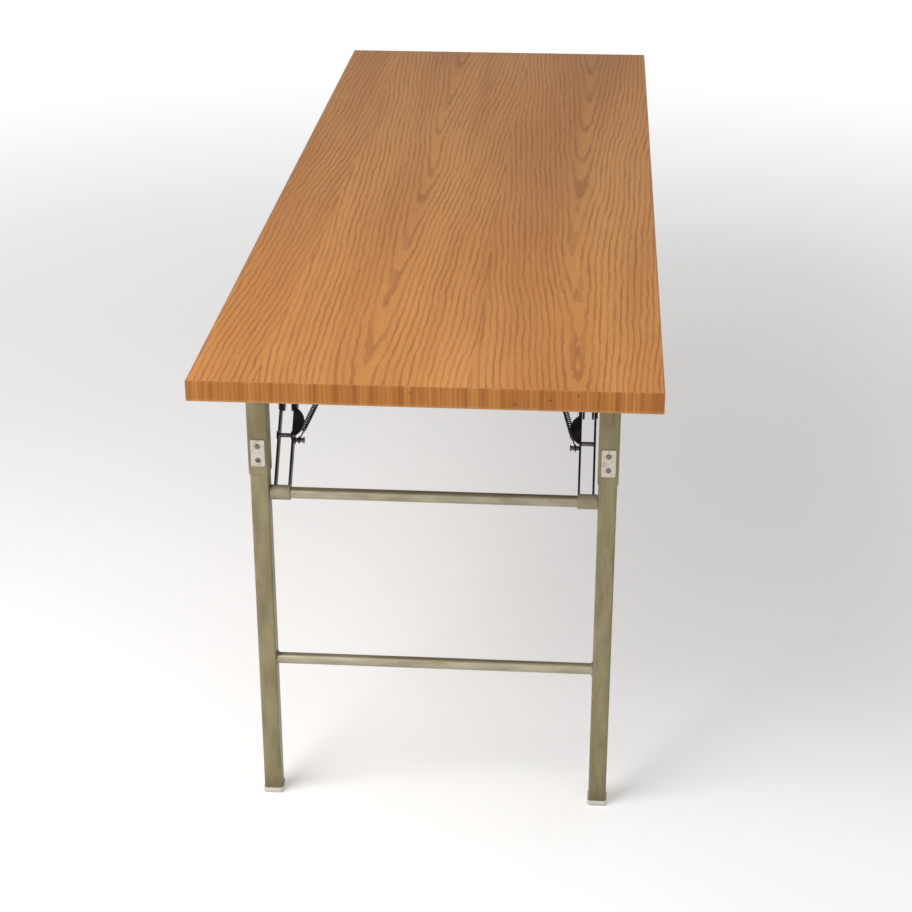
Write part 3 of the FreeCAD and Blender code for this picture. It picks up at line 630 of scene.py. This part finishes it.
def floor_finish():
    finish, tree, shader = new_finish("pale_floor")
    shade = cloud(tree, (1.5, 1.5, 1.5), 3.0)
    colour_with(tree, shader, blend(tree, shade, FLOOR_DARK, FLOOR_PALE))
    shader.inputs["Roughness"].default_value = 0.9
    shader.inputs["Specular IOR Level"].default_value = 0.1
    shader.inputs["Emission Color"].default_value = WHITE
    path = add(tree, "ShaderNodeLightPath").outputs
    seen = calc(tree, "MAXIMUM", path["Is Camera Ray"], path["Is Glossy Ray"])
    way = add(tree, "ShaderNodeVectorMath", {"operation": "LENGTH"}, Vector=stretched(tree, (1, 1, 1)))
    lift = between(tree, way.outputs["Value"], FADE_START, FADE_END, LIFT_NEAR, LIFT_FAR)
    tree.links.new(times(tree, seen, lift), shader.inputs["Emission Strength"])
    return finish


def make_floor(half):
    mesh = bpy.data.meshes.new("floor")
    corners = [(-half, -half, 0), (half, -half, 0), (half, half, 0), (-half, half, 0)]
    mesh.from_pydata(corners, [], [(0, 1, 2, 3)])
    mesh.materials.append(floor_finish())
    made = bpy.data.objects.new("floor", mesh)
    bpy.context.scene.collection.objects.link(made)
    return made


floor = make_floor(FLOOR_HALF)
print("floor faces:", len(floor.data.polygons))

# %% [markdown]
# ## Light
# The light is soft: a wide pale sky, a large window lamp above and to the left of the near end, and a
# weak fill from the front right. The window is close to the near end, so the top darkens toward its
# far end. The sky shows white to the camera and in reflections, and is weaker as a light.

# %% Light
SKY_LIGHT = 0.4


def sky():
    """Seen directly, in a reflection or through glass the sky is white; as a lamp it is softer."""
    world = bpy.data.worlds.new("soft_studio")
    world.use_nodes = True
    tree = world.node_tree
    path = add(tree, "ShaderNodeLightPath")
    shown = path.outputs["Is Camera Ray"]
    for ray in ("Is Glossy Ray", "Is Transmission Ray"):
        shown = calc(tree, "MAXIMUM", shown, path.outputs[ray])
    strength = calc(tree, "ADD", times(tree, shown, 1.0 - SKY_LIGHT), SKY_LIGHT)
    back = tree.nodes["Background"]
    back.inputs["Color"].default_value = WHITE
    tree.links.new(strength, back.inputs["Strength"])
    bpy.context.scene.world = world


def lamp(name, place, aim, width, depth, power, colour):
    data = bpy.data.lights.new(name, "AREA")
    data.shape = "RECTANGLE"
    data.size = width
    data.size_y = depth
    data.energy = power
    data.color = colour
    made = bpy.data.objects.new(name, data)
    made.location = place
    made.rotation_euler = turn_toward(place, aim)
    bpy.context.scene.collection.objects.link(made)


sky()
lamp("window", place=(1.75, -1.3, 2.0), aim=(0.8, 0.0, 0.65), width=1.6, depth=1.4, power=46.0,
     colour=(1.0, 0.98, 0.95))
lamp("front_fill", place=(3.4, 1.8, 1.7), aim=(0.8, 0.0, 0.4), width=2.0, depth=1.8, power=9.0,
     colour=(1.0, 1.0, 1.0))
print("lamps:", [light.name for light in bpy.data.lights])

# %% [markdown]
# ## Stay springs
# A tension spring runs from each lower stay to its anchor under the top: a straight lead, a
# row of open coils and a long straight run. It could be drawn by hand as a curve, but the path follows
# a rule, so Geometry Nodes draw it: a straight line is resampled, and each point is swung round the
# line while it is in the coils.

# %% Spring path as a node tree
POST = Vector((0.6988085, 0.1899, 0.5317975))
ANCHOR = Vector((0.380, 0.1099, 0.660))
POST_RADIUS = 0.003
SPRING_WIRE = 0.002
SPRING_COIL = 0.0084
SPRING_GAP = 0.0003
COIL_START = 0.0143
COIL_PITCH = 0.0042
COIL_TURNS = 24
COIL_EASE = 0.5
PATH_POINTS = 1700
WIRE_SIDES = 10
SPRING_INPUTS = ("Run Start", "Run End", "Coil Start", "Coil Length", "Turns", "Coil Radius", "Wire Radius")


def new_tree(name):
    """An empty Geometry Nodes tree with one output."""
    tree = bpy.data.node_groups.new(name, "GeometryNodeTree")
    tree.interface.new_socket("Geometry", in_out="OUTPUT", socket_type="NodeSocketGeometry")
    return tree


def tree_input(tree, name, kind="NodeSocketFloat"):
    return tree.interface.new_socket(name, in_out="INPUT", socket_type=kind)


def end_tree(tree, geometry, finish):
    """Makes copies real, gives them their finish and hands them out."""
    real = add(tree, "GeometryNodeRealizeInstances", Geometry=geometry)
    dressed = add(tree, "GeometryNodeSetMaterial", Geometry=real.outputs[0], Material=finish)
    shown = tree.nodes.new("NodeGroupOutput")
    tree.links.new(dressed.outputs[0], shown.inputs[0])


def coil_swing(tree, given):
    """How far a point of the straight line moves aside and up to lie on the coils."""
    here = add(tree, "GeometryNodeInputPosition").outputs[0]
    along = add(tree, "ShaderNodeSeparateXYZ", Vector=here).outputs["X"]
    part = calc(tree, "DIVIDE", calc(tree, "SUBTRACT", along, given["Coil Start"]), given["Coil Length"])
    part = between(tree, part, 0.0, 1.0)
    part.node.interpolation_type = "LINEAR"
    angle = times(tree, times(tree, part, given["Turns"]), 2 * math.pi)
    ease = calc(tree, "DIVIDE", COIL_EASE, given["Turns"])
    entry = between(tree, part, 0.0, ease)
    leave = between(tree, calc(tree, "SUBTRACT", 1.0, part), 0.0, ease)
    swing = times(tree, given["Coil Radius"], times(tree, entry, leave))
    aside = times(tree, swing, calc(tree, "SINE", angle))
    lift = times(tree, swing, calc(tree, "SUBTRACT", 1.0, calc(tree, "COSINE", angle)))
    return add(tree, "ShaderNodeCombineXYZ", Y=aside, Z=lift).outputs[0]


def spring_tree():
    tree = new_tree("wound_spring")
    for name in SPRING_INPUTS:
        tree_input(tree, name)
    given = tree.nodes.new("NodeGroupInput").outputs
    run = add(tree, "GeometryNodeCurvePrimitiveLine")
    for socket, end in (("Start", "Run Start"), ("End", "Run End")):
        point = add(tree, "ShaderNodeCombineXYZ", X=given[end])
        plug(tree, run.inputs[socket], point.outputs[0])
    fine = add(tree, "GeometryNodeResampleCurve", Curve=run.outputs[0], Count=PATH_POINTS)
    offset = coil_swing(tree, given)
    wound = add(tree, "GeometryNodeSetPosition", Geometry=fine.outputs[0], Offset=offset)
    section = add(tree, "GeometryNodeCurvePrimitiveCircle", Resolution=WIRE_SIDES,
                  Radius=given["Wire Radius"])
    wire = add(tree, "GeometryNodeCurveToMesh", Curve=wound.outputs[0], Profile_Curve=section.outputs[0],
               Fill_Caps=True)
    smooth = add(tree, "GeometryNodeSetShadeSmooth", Geometry=wire.outputs[0])
    end_tree(tree, smooth.outputs[0], spring_black)
    return tree


SPRING_TREE = spring_tree()
print("spring tree nodes:", len(SPRING_TREE.nodes))

# %% [markdown]
# ## From a tree to a plain mesh
# A tree runs as a modifier. The model needs plain meshes that lie in place, with their object
# at the origin, so the result is copied off the modifier. A piece is made once, for end a on the right,
# and mirrored to the other corners. Mirroring turns a mesh inside out, so its faces are flipped back.

# %% Helpers for finished pieces
def evaluated_mesh(tree, values, carrier):
    """Runs a node tree on a carrier mesh and returns the result as a plain mesh."""
    holder = bpy.data.objects.new(tree.name + "_holder", carrier)
    bpy.context.scene.collection.objects.link(holder)
    modifier = holder.modifiers.new("shape", "NODES")
    modifier.node_group = tree
    sockets = {item.name: item.identifier for item in tree.interface.items_tree if item.in_out == "INPUT"}
    for name, value in values.items():
        modifier[sockets[name]] = value
    depsgraph = bpy.context.evaluated_depsgraph_get()
    mesh = bpy.data.meshes.new_from_object(holder.evaluated_get(depsgraph))
    holder.modifiers.remove(modifier)
    bpy.data.objects.remove(holder)
    return mesh


def mirrored(mesh, end_sign, side_sign):
    """A copy of a mesh made for end a on the right, moved to another corner, faces outward."""
    copy = mesh.copy()
    copy.transform(Matrix.Diagonal((end_sign, side_sign, 1.0, 1.0)))
    if end_sign * side_sign < 0:
        copy.flip_normals()
    return copy


def show(name, mesh, body):
    """A piece that moves with a body of the table."""
    made = bpy.data.objects.new(name, mesh)
    bpy.context.scene.collection.objects.link(made)
    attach(made, body)
    return made


print("corners:", list(CORNERS))

# %% [markdown]
# ## Springs at the four corners
# The spring is drawn along X and then laid from the post to the anchor. It moves with the spring
# link of its corner.

# %% Springs
UP = Vector((0, 0, 1))
pull = (ANCHOR - POST).normalized()
spring_aside = UP.cross(pull).normalized()
spring_up = pull.cross(spring_aside)
lay = Matrix.Translation(POST) @ Matrix((pull, spring_aside, spring_up)).transposed().to_4x4()
spring_values = {
    "Run Start": POST_RADIUS + SPRING_GAP,
    "Run End": (ANCHOR - POST).length - SPRING_GAP,
    "Coil Start": COIL_START,
    "Coil Length": COIL_PITCH * COIL_TURNS,
    "Turns": float(COIL_TURNS),
    "Coil Radius": (SPRING_COIL - SPRING_WIRE) / 2,
    "Wire Radius": SPRING_WIRE / 2,
}
spring_mesh = evaluated_mesh(SPRING_TREE, spring_values, bpy.data.meshes.new("spring_carrier"))
spring_mesh.transform(lay)
for corner, (end_sign, side_sign) in CORNERS.items():
    mesh = mirrored(spring_mesh, end_sign, side_sign)
    spring = show("wound_spring_" + corner, mesh, "spring_link_" + corner)
    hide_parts("stay_spring_" + corner)
    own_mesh(spring)

# %% [markdown]
# ## Turned shapes
# Eyes, screws, rivets and weld beads are all round about one axis. Blender's Spin could make them, but
# a ring of points for each step of a profile gives the same mesh with closed ends and no seam.

# %% Turned shapes
SHARP_EDGE = math.radians(40)


def circle_angles(count):
    return [2 * math.pi * step / count for step in range(count)]


def turned(name, profile, steps, closed=False):
    """A mesh turned about Z from (radius, height) points. A closed profile makes a ring."""
    shape = bmesh.new()
    angles = circle_angles(steps)
    rings = []
    for radius, height in profile:
        ring = [shape.verts.new((radius * math.cos(a), radius * math.sin(a), height)) for a in angles]
        rings.append(ring)
    pairs = list(zip(rings, rings[1:]))
    if closed:
        pairs.append((rings[-1], rings[0]))
    else:
        shape.faces.new(rings[0])
        shape.faces.new(rings[-1])
    for first, second in pairs:
        for step in range(steps):
            after = (step + 1) % steps
            shape.faces.new((first[step], first[after], second[after], second[step]))
    bmesh.ops.recalc_face_normals(shape, faces=shape.faces)
    mesh = bpy.data.meshes.new(name)
    shape.to_mesh(mesh)
    shape.free()
    mesh.polygons.foreach_set("use_smooth", [True] * len(mesh.polygons))
    mesh.set_sharp_from_angle(angle=SHARP_EDGE)
    return mesh


def ring_profile(middle, thick, points):
    """A small circle of the given radius, at a distance from the axis."""
    return [(middle + thick * math.cos(a), thick * math.sin(a)) for a in circle_angles(points)]


print("edges sharper than this many degrees stay sharp:", round(math.degrees(SHARP_EDGE)))

# %% [markdown]
# ## Spring eyes
# Each spring hooks on its post with an eye bent from the same wire. The eye turns with the spring
# but doesn't shorten, so it is a ring of its own: a small circle turned about the post's axis.

# %% Eyes on the posts
EYE_CLEARANCE = 0.0002
EYE_SECTION = 12
EYE_STEPS = 32
LAY_ACROSS = Matrix.Rotation(math.radians(90), 4, "X")
eye_middle = POST_RADIUS + EYE_CLEARANCE + SPRING_WIRE / 2
eye_profile = ring_profile(eye_middle, SPRING_WIRE / 2, EYE_SECTION)
eye_mesh = turned("spring_eye", eye_profile, EYE_STEPS, closed=True)
eye_mesh.materials.append(spring_black)
eye_mesh.transform(Matrix.Translation(POST) @ LAY_ACROSS)
for corner, (end_sign, side_sign) in CORNERS.items():
    eye = show("spring_eye_" + corner, mirrored(eye_mesh, end_sign, side_sign), "spring_link_" + corner)
print("eye outside diameter in mm:", round(2000 * (eye_middle + SPRING_WIRE / 2), 1))

# %% [markdown]
# ## Setting out fasteners
# The fasteners repeat, so one of a kind is modelled, and Geometry Nodes set a copy on every spot. A
# spot is a point of a carrier mesh, and its turn is stored with it. Screws also get a random turn of
# their own, from a fixed seed, because no fitter stops every screw at the same angle.

# %% Fastener tree
PLAIN_SEED = 3


def fastener_tree():
    tree = new_tree("fasteners")
    tree_input(tree, "Spots", "NodeSocketGeometry")
    tree_input(tree, "Fastener", "NodeSocketObject")
    tree_input(tree, "Random Turn")
    tree_input(tree, "Seed", "NodeSocketInt")
    tree_input(tree, "Finish", "NodeSocketMaterial")
    given = tree.nodes.new("NodeGroupInput").outputs
    part = add(tree, "GeometryNodeObjectInfo", Object=given["Fastener"])
    stored = add(tree, "GeometryNodeInputNamedAttribute", {"data_type": "FLOAT"}, Name="turn")
    chance = add(tree, "FunctionNodeRandomValue", {"data_type": "FLOAT"}, Seed=given["Seed"])
    spin = times(tree, chance.outputs[1], given["Random Turn"])
    turn = add(tree, "ShaderNodeCombineXYZ", Z=calc(tree, "ADD", stored.outputs[0], spin))
    aim = add(tree, "FunctionNodeEulerToRotation", Euler=turn.outputs[0])
    placed = add(tree, "GeometryNodeInstanceOnPoints", Points=given["Spots"],
                 Instance=part.outputs["Geometry"], Rotation=aim.outputs[0])
    end_tree(tree, placed.outputs[0], given["Finish"])
    return tree


FASTENERS = fastener_tree()


def set_out(name, part_mesh, spots, finish, random_turn=0.0, seed=PLAIN_SEED):
    """One mesh with a copy of a fastener on each (place, turn)."""
    carrier = bpy.data.meshes.new(name + "_spots")
    carrier.from_pydata([place for place, turn in spots], [], [])
    turns = carrier.attributes.new("turn", "FLOAT", "POINT")
    turns.data.foreach_set("value", [turn for place, turn in spots])
    master = bpy.data.objects.new(name + "_master", part_mesh)
    bpy.context.scene.collection.objects.link(master)
    values = {"Fastener": master, "Random Turn": random_turn, "Seed": seed, "Finish": finish}
    mesh = evaluated_mesh(FASTENERS, values, carrier)
    bpy.data.objects.remove(master)
    return mesh


print("fastener tree nodes:", len(FASTENERS.nodes))

# %% [markdown]
# ### Wood screw
# Pan head screws hold the steel plates under the top. The head is a turned dome, and the shank has
# ridges for its thread: true spirals would cost many faces and are hidden in the board. The cross
# recess is cut into the head with a Boolean, because no turned profile can give it.

# %% One screw
SCREW_HEAD = 0.0045
SCREW_HEAD_HEIGHT = 0.0024
SCREW_LENGTH = 0.016
SCREW_NECK = 0.0016
THREAD_START = 0.004
THREAD_ROOT = 0.00144
THREAD_CREST = 0.00196
THREADS = 7
SCREW_POINT = 0.0003
SCREW_STEPS = 20
SCREW_DOME_RINGS = 6
RECESS_WIDTH = 0.0011
RECESS_LENGTH = 0.0048
RECESS_BELOW = 2.0
RECESS_RISE = 1.35
DOME_FROM = 8
DOME_LIP = 0.3


def dome(radius, height, rings, lip=DOME_LIP):
    """Profile of a low dome from near its middle to its rim: a round, then a short upright lip."""
    points = []
    for ring in range(rings + 1):
        angle = math.radians(DOME_FROM + (90 - DOME_FROM) * ring / rings)
        points.append((radius * math.sin(angle), -height * (lip + (1 - lip) * math.cos(angle))))
    return points + [(radius, 0.0)]


def recess_mesh():
    """A cross-shaped block that stands in the lower part of the screw head."""
    half = RECESS_WIDTH / 2
    arm = RECESS_LENGTH / 2
    outline = [(arm, -half), (arm, half), (half, half), (half, arm), (-half, arm), (-half, half),
               (-arm, half), (-arm, -half), (-half, -half), (-half, -arm), (half, -arm), (half, -half)]
    shape = bmesh.new()
    below = -RECESS_BELOW * SCREW_HEAD_HEIGHT
    low = shape.faces.new([shape.verts.new((x, y, below)) for x, y in outline])
    grown = bmesh.ops.extrude_face_region(shape, geom=[low])
    top = [item for item in grown["geom"] if isinstance(item, bmesh.types.BMVert)]
    bmesh.ops.translate(shape, verts=top, vec=(0, 0, RECESS_RISE * SCREW_HEAD_HEIGHT))
    bmesh.ops.recalc_face_normals(shape, faces=shape.faces)
    mesh = bpy.data.meshes.new("recess")
    shape.to_mesh(mesh)
    shape.free()
    return mesh


def screw_mesh():
    profile = dome(SCREW_HEAD, SCREW_HEAD_HEIGHT, SCREW_DOME_RINGS)
    profile.append((SCREW_NECK, 0.0))
    step = (SCREW_LENGTH - THREAD_START) / (THREADS + 1)
    for thread in range(THREADS):
        height = THREAD_START + step * thread
        profile += [(THREAD_ROOT, height), (THREAD_CREST, height + step / 2)]
    profile.append((SCREW_POINT, SCREW_LENGTH))
    blank = bpy.data.objects.new("screw_blank", turned("screw_blank", profile, SCREW_STEPS))
    bpy.context.scene.collection.objects.link(blank)
    cutter = bpy.data.objects.new("recess", recess_mesh())
    bpy.context.scene.collection.objects.link(cutter)
    cut = blank.modifiers.new("recess", "BOOLEAN")
    cut.object = cutter
    cut.solver = "EXACT"
    mesh = bpy.data.meshes.new_from_object(blank.evaluated_get(bpy.context.evaluated_depsgraph_get()))
    bpy.data.objects.remove(blank)
    bpy.data.objects.remove(cutter)
    return mesh


screw = screw_mesh()
print("faces of a screw:", len(screw.polygons))

# %% [markdown]
# ### Screws in the plates
# Each hinge bracket has four screws, each stay bracket and spring anchor two. Their spots follow from
# the middle of the plate, and an anchor's plate lies along its spring.

# %% Screws
PLATE_UNDER = 0.670
LEG_PLACE = Vector((0.758, 0.235, 0.648))
STAY_PLACE = Vector((0.615, 0.2062, 0.648))
HINGE_SCREW_RUN = 0.046
HINGE_SCREW_SPAN = 0.054
STAY_SCREW_RUN = 0.048
ANCHOR_SCREW_RUN = 0.028
FIRST_SCREW_SEED = 5
FULL_TURN = 2 * math.pi
BOTH_WAYS = (-1, 1)


def at_corners(spots, level):
    """Spots given for end a on the right, repeated at all four corners."""
    return [(Vector((x * end, y * side, level)), 0.0) for end, side in CORNERS.values() for x, y in spots]


flat_pull = Vector((pull.x, pull.y)).normalized()
screw_spots = {
    "hinge_bracket_screws": [
        (LEG_PLACE.x + i * HINGE_SCREW_RUN / 2, LEG_PLACE.y + j * HINGE_SCREW_SPAN / 2)
        for i in BOTH_WAYS for j in BOTH_WAYS
    ],
    "stay_bracket_screws": [(STAY_PLACE.x + i * STAY_SCREW_RUN / 2, STAY_PLACE.y) for i in BOTH_WAYS],
    "spring_anchor_screws": [tuple(ANCHOR.xy + flat_pull * i * ANCHOR_SCREW_RUN / 2) for i in BOTH_WAYS],
}
for seed, (name, spots) in enumerate(screw_spots.items(), start=FIRST_SCREW_SEED):
    mesh = set_out(name, screw, at_corners(spots, PLATE_UNDER), zinc, FULL_TURN, seed)
    placed = show("pan_head_" + name, mesh, "tabletop")
    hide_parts(name)
    print(name, "faces:", len(mesh.polygons))

# %% [markdown]
# ### Hinge rivets
# Each leg turns on a rivet through the two cheeks of its bracket. The rivet has a low round head, and
# the end of its shank is eased. It is turned about Z and then laid across the table, its head outward.

# %% Hinge rivets
HINGE_RIVET = 0.004
HINGE_RIVET_HEAD = 0.0065
HINGE_RIVET_DOME = 0.0022
INNER_CHEEK = 0.2186
OUTER_CHEEK = 0.2514
RIVET_LIP = 0.18
RIVET_EASE = 0.0004
RIVET_DOME_RINGS = 7
RIVET_STEPS = 28


def rivet_mesh(name, shank, head, height, length):
    """Head below the seat at height 0 and shank above it."""
    profile = dome(head, height, RIVET_DOME_RINGS, RIVET_LIP)
    profile += [(shank, 0.0), (shank, length - RIVET_EASE), (shank - RIVET_EASE, length)]
    return turned(name, profile, RIVET_STEPS)


def half_turn(sign):
    return 0.0 if sign > 0 else math.pi


grip = OUTER_CHEEK - INNER_CHEEK
hinge_rivet = rivet_mesh("hinge_rivet", HINGE_RIVET, HINGE_RIVET_HEAD, HINGE_RIVET_DOME, grip)
hinge_rivet.transform(LAY_ACROSS)
rivet_spots = [
    (Vector((LEG_PLACE.x * end, OUTER_CHEEK * side, LEG_PLACE.z)), half_turn(side))
    for end, side in CORNERS.values()
]
mesh = set_out("hinge_rivets", hinge_rivet, rivet_spots, dull_pin)
hinge_rivets = show("hinge_rivet_heads", mesh, "tabletop")
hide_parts("hinge_rivets")
print("hinge rivets:", len(rivet_spots), "grip in mm:", round(1000 * grip, 1))

# %% [markdown]
# ### Plate rivets
# Two small dark rivets hold the bright plate on each leg. They are the same shape as the hinge rivets,
# only smaller, and lie along the table with their heads toward its end. They move with the leg frame.

# %% Plate rivets
PLATE_RIVET = 0.002
PLATE_RIVET_HEAD = 0.00375
PLATE_RIVET_DOME = 0.0016
PLATE_RIVET_LENGTH = 0.0062
PLATE_RIVET_SPACING = 0.020
PLATE_FACE = 0.7735
PLATE_HEIGHT = 0.544
LAY_ALONG = Matrix.Rotation(math.radians(-90), 4, "Y")
plate_rivet = rivet_mesh("plate_rivet", PLATE_RIVET, PLATE_RIVET_HEAD, PLATE_RIVET_DOME, PLATE_RIVET_LENGTH)
plate_rivet.transform(LAY_ALONG)
for end, end_sign in ENDS.items():
    spots = []
    for side in SIDES.values():
        for way in BOTH_WAYS:
            height = PLATE_HEIGHT + way * PLATE_RIVET_SPACING / 2
            place = Vector((PLATE_FACE * end_sign, LEG_PLACE.y * side, height))
            spots.append((place, half_turn(end_sign)))
    mesh = set_out("plate_rivets", plate_rivet, spots, dark_rivet)
    rivets = show("plate_rivet_heads_" + end, mesh, "leg_frame_" + end)
    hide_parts("plate_rivets_" + end)
    print("plate rivets at end", end + ":", len(spots))

# %% [markdown]
# ### Welds
# The lower bar is welded to the legs. A weld is a small uneven bead round the end of the bar: a ring
# whose radius swells in two waves that don't fit each other, so it has no visible rhythm.

# %% Weld beads
LEG_INNER_FACE = 0.2225
BEAD = 0.0013
BEAD_SECTION = 10
BEAD_STEPS = 48
BEAD_SINK = 0.3


def bead_swell(around):
    return 1.0 + 0.035 * math.sin(17 * around) + 0.02 * math.sin(31 * around + 1.0)


def bead_mesh():
    profile = ring_profile(BAR_RADIUS + BEAD * BEAD_SINK, BEAD, BEAD_SECTION)
    mesh = turned("weld_bead", profile, BEAD_STEPS, closed=True)
    for point in mesh.vertices:
        swell = bead_swell(math.atan2(point.co.y, point.co.x))
        point.co.x *= swell
        point.co.y *= swell
    mesh.transform(LAY_ACROSS)
    return mesh


bead = bead_mesh()
bead_place = LEG_INNER_FACE - BEAD / 2
for end, end_sign in ENDS.items():
    spots = [(Vector((LEG_PLACE.x * end_sign, side * bead_place, LOWER_BAR_HEIGHT)), 0.0)
             for side in SIDES.values()]
    welds = show("weld_beads_" + end, set_out("weld_beads", bead, spots, bar_paint), "leg_frame_" + end)
    print("weld beads at end", end + ":", len(spots))
